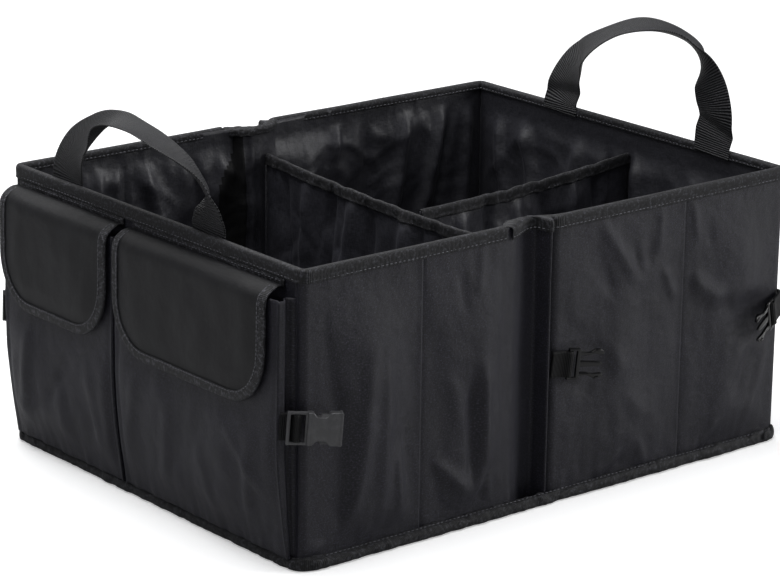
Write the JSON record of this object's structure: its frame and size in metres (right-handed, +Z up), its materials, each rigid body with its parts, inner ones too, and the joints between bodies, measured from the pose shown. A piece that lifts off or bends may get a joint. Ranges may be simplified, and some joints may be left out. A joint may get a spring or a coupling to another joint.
{
  "type": "car trunk organizer",
  "caption": "Foldable open-top cloth trunk box with stiffened walls, soft pleats, crossing dividers, end pockets under flaps, webbing handles and side-release buckles.",
  "frame": {"origin": "centre of the underside that stands on the trunk floor", "axes": "+X along the long walls, away from the end with the pockets; +Y to the rear long wall; +Z up"},
  "size_m": [0.6465, 0.511, 0.3959],
  "materials": {
    "outer_cloth": "oxford cloth, satin matt",
    "lining_cloth": "thin taffeta lining, soft sheen",
    "binding_tape": "woven binding tape, matt",
    "webbing": "ribbed polypropylene webbing",
    "stiffener": "stiff grey board",
    "buckle_grey": "moulded plastic, satin",
    "buckle_black": "moulded plastic, glossy",
    "grip_tape": "hook and loop tape"
  },
  "bodies": {
    "organizer": {"front_outer_cloth": "outer_cloth", "front_lining": "lining_cloth", "front_board_1": "stiffener", "front_board_2": "stiffener", "front_board_3": "stiffener", "front_board_4": "stiffener", "rear_outer_cloth": "outer_cloth", "rear_lining": "lining_cloth", "rear_board_1": "stiffener", "rear_board_2": "stiffener", "rear_board_3": "stiffener", "rear_board_4": "stiffener", "left_end_outer_cloth": "outer_cloth", "left_end_board": "stiffener", "left_end_lining": "lining_cloth", "front_pocket": "outer_cloth", "rear_pocket": "outer_cloth", "front_pocket_loop_strip": "grip_tape", "front_flap_header": "binding_tape", "rear_pocket_loop_strip": "grip_tape", "rear_flap_header": "binding_tape", "right_end_outer_cloth": "outer_cloth", "right_end_board": "stiffener", "right_end_lining": "lining_cloth", "bottom_cloth": "outer_cloth", "base_binding": "binding_tape", "left_floor_board": "stiffener", "right_floor_board": "stiffener", "left_bay_rim_binding": "binding_tape", "right_bay_rim_binding": "binding_tape", "front_pleat_binding": "binding_tape", "rear_pleat_binding": "binding_tape", "cross_divider": "lining_cloth", "cross_divider_binding": "binding_tape", "lengthwise_divider": "lining_cloth", "lengthwise_divider_binding": "binding_tape", "left_handle": "webbing", "right_handle": "webbing", "front_left_buckle_female": "buckle_grey", "front_left_buckle_strap": "webbing", "front_centre_buckle_strap": "webbing", "front_right_buckle_strap": "webbing", "rear_left_buckle_female": "buckle_grey", "rear_left_buckle_strap": "webbing", "rear_centre_buckle_strap": "webbing", "rear_right_buckle_strap": "webbing"},
    "front_flap": {"front_flap": "outer_cloth", "front_flap_binding": "binding_tape", "front_flap_hook_strip": "grip_tape"},
    "rear_flap": {"rear_flap": "outer_cloth", "rear_flap_binding": "binding_tape", "rear_flap_hook_strip": "grip_tape"},
    "front_centre_buckle": {"front_centre_buckle_male": "buckle_black"},
    "front_right_buckle": {"front_right_buckle_male": "buckle_black"},
    "rear_centre_buckle": {"rear_centre_buckle_male": "buckle_black"},
    "rear_right_buckle": {"rear_right_buckle_male": "buckle_black"}
  },
  "joints": [
    {"name": "front_flap_hinge", "type": "hinge", "parent": "organizer", "child": "front_flap", "pos_m": [-0.3041, -0.089, 0.2625], "axis": [0, 1, 0], "range_deg": [0, 95]},
    {"name": "rear_flap_hinge", "type": "hinge", "parent": "organizer", "child": "rear_flap", "pos_m": [-0.3041, 0.13, 0.2625], "axis": [0, 1, 0], "range_deg": [0, 95]},
    {"name": "front_centre_buckle_swing", "type": "hinge", "parent": "organizer", "child": "front_centre_buckle", "pos_m": [0.0145, -0.2334, 0.135], "axis": [0.1014, -0.0253, 0.9945], "range_deg": [-100, 6]},
    {"name": "front_right_buckle_swing", "type": "hinge", "parent": "organizer", "child": "front_right_buckle", "pos_m": [0.2795, -0.24, 0.138], "axis": [-0.259, -0.0943, 0.9613], "range_deg": [-18, 100]},
    {"name": "rear_centre_buckle_swing", "type": "hinge", "parent": "organizer", "child": "rear_centre_buckle", "pos_m": [0.0265, 0.2334, 0.135], "axis": [0.1014, 0.0253, 0.9945], "range_deg": [-6, 100]},
    {"name": "rear_right_buckle_swing", "type": "hinge", "parent": "organizer", "child": "rear_right_buckle", "pos_m": [0.2795, 0.24, 0.138], "axis": [-0.259, 0.0943, 0.9613], "range_deg": [-100, 18]}
  ]
}
